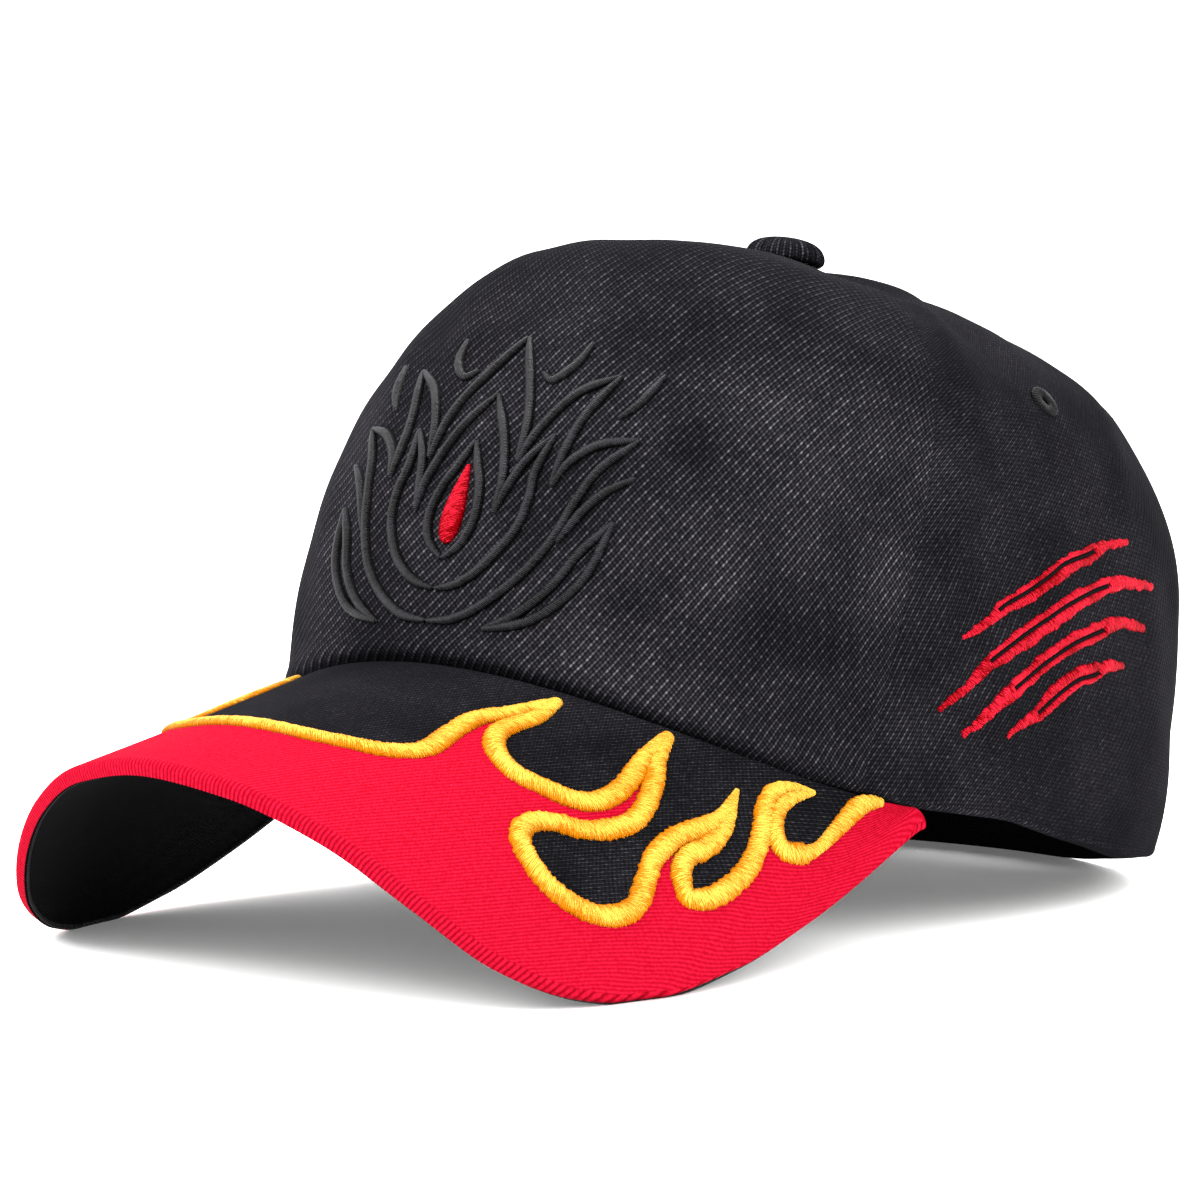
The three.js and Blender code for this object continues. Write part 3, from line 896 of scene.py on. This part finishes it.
otherRim = [{"s": -row["s"], "x": -row["x"], "y": row["y"], "z": row["z"]} for row in peak["rim"][:0:-1]]
mirroredRim = otherRim + peak["rim"]
rimX, rimY, rimZ = (curveThrough(mirroredRim, "s", way) for way in "xyz")
rimShares = np.linspace(-1, 1, 1601)
rimXs = rimX(rimShares)


def peakRoot(x):
    step = 0.05
    inside = np.minimum(np.abs(x), crown["halfWidth"] - 2 * step)
    slope = (frontHemY(inside + step) - frontHemY(inside - step)) / (2 * step)
    clear = peak["gap"] * np.sqrt(1 + slope * slope)
    return np.stack([x, frontHemY(x) - clear, archZ(x) - peak["thickness"]], axis=-1)


def peakUnderside(s, out):
    rim = np.stack([rimX(s), rimY(s), rimZ(s)], axis=-1)
    root = peakRoot(rim[..., 0])
    return root + (rim - root) * np.asarray(out, float)[..., None]


def peakReach(s):
    # from the wall to the rim
    return np.linalg.norm(peakUnderside(s, 1 + 0 * s) - peakUnderside(s, 0 * s), axis=-1)


def peakLift(s, out):
    # the way the peak's thickness stands: upright at the wall and square to the cloth at the rim
    step = 0.002
    inner = np.clip(s, step - 1, 1 - step)
    across = peakUnderside(inner + step, out) - peakUnderside(inner - step, out)
    outward = peakUnderside(s, 1 + 0 * out) - peakUnderside(s, 0 * out)
    square = unit(np.cross(outward, across))
    part = np.asarray(out, float)[..., None]
    return unit(np.array([0, 0, 1.0]) * (1 - part) + square * part), square


def peakTopSurface(s, out):
    lift, square = peakLift(s, out)
    return peakUnderside(s, out) + lift * peak["thickness"], square


def peakShares(x, y):
    # where on the peak its top has this x and y
    atX, atY = np.array(x, float), np.array(y, float)
    for _ in range(8):
        s = np.interp(atX, rimXs, rimShares)
        rootY, edgeY = peakRoot(rimX(s))[..., 1], rimY(s)
        out = clamp((atY - rootY) / np.minimum(edgeY - rootY, -0.5))
        top, _ = peakTopSurface(s, out)
        atX, atY = atX + x - top[..., 0], atY + y - top[..., 1]
    return s, out


def onPeak(x, y):
    return peakTopSurface(*peakShares(x, y))


flame = {
    "width": 4.8, "taper": 17, "height": 1.25, "step": 0.42, "fray": 0.1, "seed": 7,
    "side": 78.45,  # the outer side that the last line keeps as it goes under the crown
    "ends": [(4.8, 2.2), (2.2, 2.4), (2.4, 0.8), (0.8, 0.8), (0.8, 4.8)],
    "lines": [  # x and y on the peak's top, on the wearer's left, from the middle to the side
        [(-2.6, -155.5), (0, -155.5), (7, -155), (17, -153), (26, -148.5), (30.5, -143.5), (32.3, -138),
         (31, -129), (30.5, -121.5), (33, -113), (35.3, -101.5)],
        [(35.3, -101.5), (36.6, -110), (35.8, -117), (36, -121.5), (38, -125), (41.5, -127), (45.5, -126.8),
         (50, -123.5), (53.6, -120), (55.8, -115.5), (56.4, -109.5), (55.6, -103.5), (54.2, -98), (53, -88.5)],
        [(53, -88.5), (55.5, -95.5), (58, -100), (60.3, -105.5), (61, -111), (59.8, -117.5), (57.7, -123),
         (55.2, -127), (53.4, -131.5), (53.6, -135.5), (56, -137.4), (60.3, -137), (64, -134.3), (67.2, -130),
         (69.1, -124.5), (69.4, -119.5), (67.8, -114.5), (66.3, -110), (66, -103), (67, -96), (67.4, -90),
         (65.8, -83)],
        [(65.8, -83), (68.7, -91), (69.2, -98), (68.7, -102.5), (69.6, -106), (72.1, -107.4), (73.6, -104),
         (74.3, -98), (74.1, -91), (73, -86), (71.4, -82), (69.8, -79), (69, -75.5), (69.6, -71.5),
         (72.2, -65.5)],
        [(72.2, -65.5), (70.9, -72.5), (71.2, -77.5), (73, -80.3), (75, -79.8), (76.4, -76), (77, -71),
         (76.7, -64.5), (76.3, -58), (76.4, -55.3), (76.8, -52.8), (77.3, -50.8), (77.6, -49.8)],
    ],
}


def signedFromLine(x, y, line, closed):
    # the distance to a drawn line, negative where the closed outline holds the point
    nearest = np.full(x.shape, 1e9)
    inside = np.zeros(x.shape, bool)
    for (ax, ay), (bx, by) in zip(closed, closed[1:] + closed[:1]):
        crosses = (ay > y) != (by > y)
        with np.errstate(divide="ignore", invalid="ignore"):
            inside ^= crosses & (x < ax + (y - ay) * (bx - ax) / (by - ay))
    for (ax, ay), (bx, by) in zip(line, line[1:]):
        long2 = max((bx - ax) ** 2 + (by - ay) ** 2, 1e-9)
        part = clamp(((x - ax) * (bx - ax) + (y - ay) * (by - ay)) / long2)
        nearest = np.minimum(nearest, np.hypot(x - ax - part * (bx - ax), y - ay - part * (by - ay)))
    return np.where(inside, -nearest, nearest)


def flameBorder():
    half = np.vstack([smoothLine(line, 5) for line in flame["lines"]])
    return [tuple(point) for point in np.vstack([half[::-1] * [-1, 1], half])]


def makePeak():
    border = flameBorder()
    side = border[-1][0]
    ringed = border + [(side, 10.0), (-side, 10.0)]
    rows, edgeRows, lowRows = peak["rows"], peak["edgeRows"], peak["lowRows"]
    radius, lowRadius, under = peak["edgeRadius"], peak["lowRadius"], peak["under"]
    crossRun = np.concatenate([[0], np.cumsum(np.hypot(np.diff(rimXs), np.diff(rimZ(rimShares))))])
    crossRun -= crossRun[800]

    def placeTop(across, up):
        s = 2 * across - 1
        row = np.round(up * rows)
        reach = peakReach(s)
        bend = np.minimum(radius, 0.4 * reach)
        full = 1 + peak["lap"] / reach
        inner = rows - edgeRows - lowRows - 2
        flatOut = clamp(row / inner) * (full - bend / reach)
        turn = clamp((row - inner) / edgeRows) * (math.pi / 2)
        lowTurn = clamp((row - inner - edgeRows - 1) / lowRows) * (math.pi / 2)
        back = lowRadius * (1 - np.cos(lowTurn)) + (under - lowRadius) * (row == rows)
        out = flatOut + np.sin(turn) * bend / reach - np.minimum(back, 0.5 * reach) / reach
        height = peak["thickness"] - radius * (1 - np.cos(turn)) - lowRadius * np.sin(lowTurn)
        height = height - (peak["thickness"] - radius - lowRadius) * (row > inner + edgeRows)
        height = height - peak["dip"] * bell(flatOut * reach, 0, peak["dipWidth"])
        lift, _ = peakLift(s, out)
        points = peakUnderside(s, out) + lift * height[..., None]
        root = peakRoot(rimX(s))[..., :2]
        points[..., :2] -= unit(root) * (peak["seamIn"] * (row == 0))[..., None]
        points[..., 2] -= peak["seamDown"] * (row == 0)
        top = peakUnderside(s, out) + lift * peak["thickness"]
        # the mark tells the cloth where it is: off the gold line's border, on the rim's fold, at its foot
        mark = np.clip(signedFromLine(top[..., 0], top[..., 1], border, ringed), *peak["borderMark"])
        mark = mark + peak["foldMark"] * (row > inner) + peak["footMark"] * np.sin(lowTurn)
        u = np.interp(s, rimShares, crossRun)
        v = -out * reach - radius * turn * 0.4 - lowRadius * lowTurn
        return points, np.stack([u, v], axis=-1), mark

    def placeUnder(across, up):
        s = 2 * across - 1
        reach = peakReach(s)
        out = up * (1 - 0.9 * under / reach)
        lift, _ = peakLift(s, out)
        points = peakUnderside(s, out) + lift * (peak["lining"] + 0.1)
        return points, np.stack([np.interp(s, rimShares, crossRun), -out * reach], axis=-1), 0.0

    mesh = bmesh.new()
    addSheet(mesh, peak["columns"], rows, lambda across, up: placeTop(1 - across, up))
    finishPiece("peak_upper_cloth", mesh, peakTwill, ["peak_top_cover"], peak["cloth"])
    mesh = bmesh.new()
    addSheet(mesh, peak["lowerColumns"], peak["lowerRows"], lambda across, up: placeUnder(1 - across, up))
    finishPiece("peak_lower_cloth", mesh, blackLining, ["peak_under_cover"], peak["cloth"])
    s = np.linspace(-peak["cordEnd"], peak["cordEnd"], peak["cordSteps"])
    out = 1 - peak["cordIn"] / peakReach(s)
    _, square = peakLift(s, out)
    run = np.interp(s, rimShares, crossRun)
    width = np.full(len(s), peak["cord"])
    width[[0, -1]] = 0
    mesh = bmesh.new()
    middle = peakUnderside(s, out) + square * peak["cordUp"]
    addCord(mesh, middle, -square, run - run[0], width, peak["cordHeight"], 8, 0.5)
    finishPiece("peak_edge_thread", mesh, edgeThread, closed=True)


makePeak()


# Stitched decoration.

def makeFlames():
    chance = np.random.default_rng(flame["seed"])
    mesh = bmesh.new()
    for line, (start, end) in zip(flame["lines"], flame["ends"]):
        for turn in (1, -1):
            drawn = [(turn * x, y) for x, y in line]
            points, normals, run = layLine(drawn, onPeak, flame["step"])
            widths = taper(run, start, end, flame["width"], flame["taper"])
            if line is flame["lines"][-1]:
                widths = np.where(run > run[-1] / 2, 2 * (flame["side"] - np.abs(points[:, 0])), widths)
                widths = np.minimum(widths, flame["width"])
                widths[-1] = 0
            widths = widths * (1 + chance.uniform(-flame["fray"], flame["fray"], len(run)))
            addCord(mesh, points, normals, run, widths, flame["height"], 12)
    finishPiece("flame_line", mesh, goldSatin, closed=True)


makeFlames()

claws = {
    "step": 0.3, "height": 0.6, "slit": 0.46, "lap": 0.5, "threadHeight": 0.2, "seed": 11,
    "frays": [{"pitch": 2.6, "size": 0.3}, {"pitch": 0.7, "size": 0.24}],
    "marks": [  # each slash from tail to head: degrees, height share, and half-widths above and below
        {"slit": 0.002, "open": (0.19, 0.76), "rows": [
            (70.1, 0.189, 0.6, 0.6), (74, 0.208, 1.1, 1.4), (78.4, 0.234, 1.6, 2.3), (83, 0.253, 1.6, 2.6),
            (87.4, 0.275, 1.6, 2.8), (91.9, 0.3, 1.5, 2.3), (97.8, 0.317, 1.5, 2.1), (104.4, 0.336, 1.1, 0.9),
            (110.2, 0.346, 0.7, 0.7)]},
        {"slit": 0.0026, "open": (0.2, 0.74), "rows": [
            (66.6, 0.103, 0.6, 0.7), (71, 0.133, 1.1, 1.4), (75.6, 0.165, 1.6, 2.5), (81.2, 0.192, 2.1, 3.2),
            (87.6, 0.219, 2.2, 3.1), (93.4, 0.246, 1.9, 2.3), (100.6, 0.27, 1.7, 1.6), (108, 0.284, 1.5, 1.1),
            (116.6, 0.282, 0.8, 0.8)]},
        {"slit": -0.001, "open": (0.25, 0.74), "rows": [
            (70.5, 0.081, 0.6, 0.7), (74.6, 0.105, 1.4, 1.8), (78.9, 0.131, 2.3, 2.3), (84, 0.156, 2.4, 1.8),
            (89.2, 0.179, 2.2, 2), (94.5, 0.2, 2.4, 1.8), (100.8, 0.217, 2.3, 1.7), (106.8, 0.232, 1.5, 1.1),
            (113.5, 0.227, 0.8, 0.7)]},
        {"slit": -0.0026, "open": (0.24, 0.76), "rows": [
            (79, 0.088, 0.6, 0.7), (82.2, 0.103, 1.1, 1.2), (85.9, 0.117, 2.1, 1.8), (89.1, 0.133, 3.3, 2),
            (92.1, 0.148, 2.7, 1.7), (95.5, 0.161, 3, 1.6), (99.4, 0.168, 2.2, 1.3), (103.6, 0.178, 1.6, 1.2),
            (108, 0.182, 0.8, 0.7)]},
    ],
}


def frayed(chance, run):
    # a torn edge, uneven from stitch to stitch
    edge = 0 * run
    for fray in claws["frays"]:
        knots = np.arange(0, run[-1] + 2 * fray["pitch"], fray["pitch"])
        edge = edge + np.interp(run, knots, chance.uniform(-fray["size"], fray["size"], len(knots)))
    return edge


def makeClaws():
    for name, turn in (("left", 1), ("right", -1)):
        chance = np.random.default_rng(claws["seed"])
        mesh, threads = bmesh.new(), bmesh.new()
        for mark in claws["marks"]:
            rows = np.array(mark["rows"])
            knots = np.linspace(0, 1, len(rows))
            heights = rows[:, 1] + mark["slit"] * np.sin(math.pi * knots)
            drawn = [(turn * angle, t) for angle, t in zip(rows[:, 0], heights)]
            points, normals, run = layLine(drawn, onSide, claws["step"])
            aside = unit(np.cross(normals, unit(np.gradient(points, axis=0)))) * turn
            above = np.interp(run / run[-1], knots, rows[:, 2]) + frayed(chance, run)
            below = np.interp(run / run[-1], knots, rows[:, 3]) + frayed(chance, run)
            start, end = (int(round(at * (len(run) - 1))) for at in mark["open"])
            lap = int(round(claws["lap"] / claws["step"]))
            whole, opened = (-below, above), slice(start - lap, end + lap + 1)
            slit = claws["slit"] + 0 * above
            pieces = [
                (slice(0, start + 1), *whole), (slice(end, len(run)), *whole),
                (opened, slit, above), (opened, -below, -slit),
            ]
            for part, low, high in pieces:
                width, middle = (high - low)[part], ((high + low) / 2)[part]
                width[[0, -1]] = 0
                laid = points[part] + aside[part] * middle[:, None]
                addCord(mesh, laid, normals[part], run[part], width, claws["height"], 8)
            width = 2 * slit[start:end]
            width[[0, -1]] = 0
            middle = slice(start, end)
            addCord(threads, points[middle], normals[middle], run[middle], width, claws["threadHeight"], 6)
        finishPiece("claw_slashes_" + name, mesh, redSatin, closed=True)
        finishPiece("claw_threads_" + name, threads, blackLining, closed=True)


makeClaws()

crest = {  # nested flames in front elevation: x from the middle and height over the foot, mirrored
    "foot": 66, "width": 2.3, "tip": 0.9, "taper": 7, "height": 1.5, "step": 0.45, "fray": 0.05, "seed": 5,
    "searchFrom": 0.3, "searchWithin": (0.01, 0.7),  # shares of the crown's height
    "black": [
        [(0, 1), (7, 2), (14, 5.5), (20.5, 11), (25, 18), (27.5, 25), (30.5, 32), (36, 38)],
        [(36, 38), (29, 37), (24, 33.5), (21.5, 28.5)],
        [(21.5, 28.5), (21.8, 35), (23, 42), (27, 50.5)],
        [(27, 50.5), (19, 46.5), (14, 40), (12, 33)],
        [(12, 33), (10.5, 41), (6.5, 49), (0, 58)],
        [(0, 7.5), (6, 9), (12, 13), (16.5, 19.5), (17.5, 26), (17, 31.5), (18.5, 39)],
        [(18.5, 39), (14, 33.5), (11.5, 27), (10.5, 22.5)],
        [(10.5, 22.5), (10, 30), (6.5, 38), (0, 46.5)],
        [(0, 13.5), (4.5, 17), (6.2, 22), (5, 28), (2.5, 32.5), (0, 37)],
        [(14, 0), (21.5, 3.5), (27.5, 9), (31.5, 16), (36.5, 22)],
        [(36.5, 22), (33, 10), (25, 2.5), (14, 0)],
        [(26, 17.5), (29.5, 23.5), (33, 27.5), (38, 30.5)],
        [(30, 42), (33, 45.5), (35, 51)],
        [(8.5, 51), (12, 49.5), (16, 52.5), (17, 57)],
    ],
    "core": [(0, 16.5), (0, 21), (0, 26), (0, 32.5)], "coreWidth": 5,
}


search = {"tries": 12, "probe": 1e-4, "widest": 0.9, "turn": 0.2, "climb": 0.1}  # the most in one try


def onFront(x, z):
    # the front panel's point with this x and height
    widest = search["widest"]
    angle = np.arcsin(np.clip(x / crown["halfWidth"], -widest, widest))
    return seenAt(x, z, angle, crest["searchFrom"], crest["searchWithin"])


def seenAt(x, z, angle, t, limits):
    # the crown's point with this x and height, searched for from an angle and a height share
    t = np.full(np.shape(x), t)
    step, mostTurn, mostClimb = search["probe"], search["turn"], search["climb"]
    for _ in range(search["tries"]):
        here = crownSkin(angle, t)
        byAngle = (crownSkin(angle + step, t) - here) / step
        byT = (crownSkin(angle, t + step) - here) / step
        missX, missZ = x - here[..., 0], z - here[..., 2]
        size = byAngle[..., 0] * byT[..., 2] - byAngle[..., 2] * byT[..., 0]
        turned = (missX * byT[..., 2] - missZ * byT[..., 0]) / size
        climbed = (missZ * byAngle[..., 0] - missX * byAngle[..., 2]) / size
        angle = angle + np.clip(turned, -mostTurn, mostTurn)
        t = np.clip(t + np.clip(climbed, -mostClimb, mostClimb), *limits)
    return raised(angle, t, waves(angle, t))


def makeCrest():
    chance = np.random.default_rng(crest["seed"])
    mesh = bmesh.new()
    for stroke in crest["black"]:
        for turn in (1, -1):
            drawn = [(turn * x, crest["foot"] + z) for x, z in stroke]
            points, normals, run = layLine(drawn, onFront, crest["step"])
            widths = taper(run, crest["tip"], crest["tip"], crest["width"], crest["taper"])
            widths = widths * (1 + chance.uniform(-crest["fray"], crest["fray"], len(run)))
            addCord(mesh, points, normals, run, widths, crest["height"], 10)
    finishPiece("crest_cords", mesh, blackSatin, closed=True)
    mesh = bmesh.new()
    drawn = [(x, crest["foot"] + z) for x, z in crest["core"]]
    points, normals, run = layLine(drawn, onFront, crest["step"])
    done = run / run[-1]
    widths = crest["coreWidth"] * np.sin(math.pi * done**0.6) + crest["tip"] * (done > 0) * (done < 1)
    addCord(mesh, points, normals, run, widths, crest["height"], 12)
    finishPiece("crest_core", mesh, redSatin, closed=True)


makeCrest()


# Band, strap and the arch's rolled edge.

band = {
    "height": 30, "thickness": 1.3, "lift": 2.2, "endAngle": 140, "climb": 1.6, "depth": 2.8,
    "columns": 300, "rows": 20,
}
strap = {
    "height": 20, "thickness": 1.4, "endAngle": 142, "depth": 2.1, "radius": 97, "columns": 90, "rows": 16,
}


def makeBand():
    def place(across, up):
        angle = np.radians(band["endAngle"] * (2 * across - 1))
        t = up * band["height"] / (band["climb"] * (crown["apexZ"] - hemZ(*hemPlan(angle))))
        points, _ = raised(angle, t, np.minimum(sideSoftness(angle, t), 0) - band["depth"])
        points[..., 2] += (band["lift"] - turnDown(angle)) * clamp(1 - up * band["rows"])  # the lowest row
        run = lookUp(aroundRun, angle, t)
        return points, np.stack([run, up * band["height"]], axis=-1), 0.0

    mesh = bmesh.new()
    addSheet(mesh, band["columns"], band["rows"], place)
    finishPiece("inner_band", mesh, blackLining, ["sweatband"], band["thickness"])


def makeStrap():
    def place(across, up):
        angle = np.radians(strap["endAngle"] + (360 - 2 * strap["endAngle"]) * across)
        footX, footY = hemPlan(angle)
        inward = unit(np.stack([-footX, -footY], axis=-1))
        x, y = footX + inward[..., 0] * strap["depth"], footY + inward[..., 1] * strap["depth"]
        points = np.stack([x, y, slopeZ(footY) + strap["height"] * up], axis=-1)
        return points, np.stack([angle * strap["radius"], up * strap["height"]], axis=-1), 0.0

    mesh = bmesh.new()
    addSheet(mesh, strap["columns"], strap["rows"], place)
    nodes = ["rear_strap"]
    finishPiece("back_strap", mesh, backTwill, nodes, strap["thickness"], inside=blackLining)


hems = {
    "side": {
        "width": 1.5, "height": 0.5, "sink": 0.6, "above": 0.9, "from": 58, "to": 152, "inward": 0.4,
        "t": 0.001, "steps": 360,
    },
    "arch": {
        "width": 2.6, "height": 0.7, "sink": 1.6, "foot": 3.2, "steps": 240,
        "searchFrom": 0.2, "searchWithin": (0.0, 0.7),
    },
    "taper": 3,
}


def makeHems():
    side = hems["side"]
    for name, turn in (("left", 1), ("right", -1)):
        angle = np.radians(np.linspace(side["from"], side["to"], side["steps"])) * turn
        t = np.full(len(angle), side["t"])
        onPanel = np.degrees(np.abs(angle)) < backSeam(t)
        height = waves(angle, t) + np.where(onPanel, sideSoftness(angle, t), 0)
        points, normals = raised(angle, t, height - side["height"] * side["inward"])
        points[:, 2] += hemRise(angle, t) + side["above"] + crown["hemLift"] * hemTuck(angle)
        run = runAlong(points)
        widths = taper(run, side["width"] / 2, side["width"] / 2, side["width"], hems["taper"])
        mesh = bmesh.new()
        addCord(mesh, points, normals, run, widths, side["height"], 8, side["sink"])
        finishPiece("folded_hem_" + name, mesh, sideTwill, closed=True)
    arch = hems["arch"]
    radius, low, foot = backArch["radius"], backArch["centreZ"], arch["foot"]
    turns = np.linspace(0, math.pi, arch["steps"])
    x = np.concatenate([[radius] * 4, radius * np.cos(turns), [-radius] * 4])
    rising = np.linspace(foot, low, 5)[:-1]
    z = np.concatenate([rising, low + radius * np.sin(turns), rising[::-1]])
    angle = math.pi - np.arcsin(x / crown["halfWidth"]) * search["widest"]
    points, normals = seenAt(x, z, angle, arch["searchFrom"], arch["searchWithin"])
    run = runAlong(points)
    widths = taper(run, arch["width"], arch["width"], arch["width"], hems["taper"])
    mesh = bmesh.new()
    addCord(mesh, points, normals, run, widths, arch["height"], 10, arch["sink"])
    finishPiece("arch_hem", mesh, backTwill, closed=True)


makeBand()
makeStrap()
makeHems()


# Floor, light and finish.

studio = {"floorSize": 6, "floor": tone(0.96, 0.955, 0.95), "floorGlow": 0.11, "world": 2.3, "aim": 0.07}


def addFloor():
    mesh = bmesh.new()
    bmesh.ops.create_grid(mesh, x_segments=2, y_segments=2, size=studio["floorSize"])
    data = bpy.data.meshes.new("floor")
    mesh.to_mesh(data)
    mesh.free()
    pale = Recipe("pale_floor")
    glow = {"Emission Color": tone(1, 1, 1), "Emission Strength": studio["floorGlow"]}
    constants = {"Specular IOR Level": 0.1, **glow}
    data.materials.append(pale.finish(studio["floor"], 0.9, 0.0, 0.0, constants))
    addObject("floor", data)


lights = [
    {"azimuth": -25, "elevation": 48, "distance": 1.3, "size": 0.9, "power": 34},
    {"azimuth": 95, "elevation": 35, "distance": 1.4, "size": 0.9, "power": 16},
    {"azimuth": 200, "elevation": 60, "distance": 1.3, "size": 0.9, "power": 20},
]


def addLights():
    for i, light in enumerate(lights):
        away = Vector(direction(light["azimuth"], light["elevation"]))
        data = bpy.data.lights.new(f"softbox_{i}", "AREA")
        data.shape, data.size, data.energy = "SQUARE", light["size"], light["power"]
        lamp = addObject(f"softbox_{i}", data)
        lamp.location = away * light["distance"] + Vector((0, 0, studio["aim"]))
        lamp.rotation_euler = (-away).to_track_quat("-Z", "Y").to_euler()
    world = bpy.data.worlds.new("studio")
    world.use_nodes = True
    background = world.node_tree.nodes["Background"]
    background.inputs["Color"].default_value = tone(1, 1, 1)
    background.inputs["Strength"].default_value = studio["world"]
    bpy.context.scene.world = world
    bpy.context.scene.view_settings.view_transform = "Standard"


addFloor()
addLights()
print("floor and lights set")
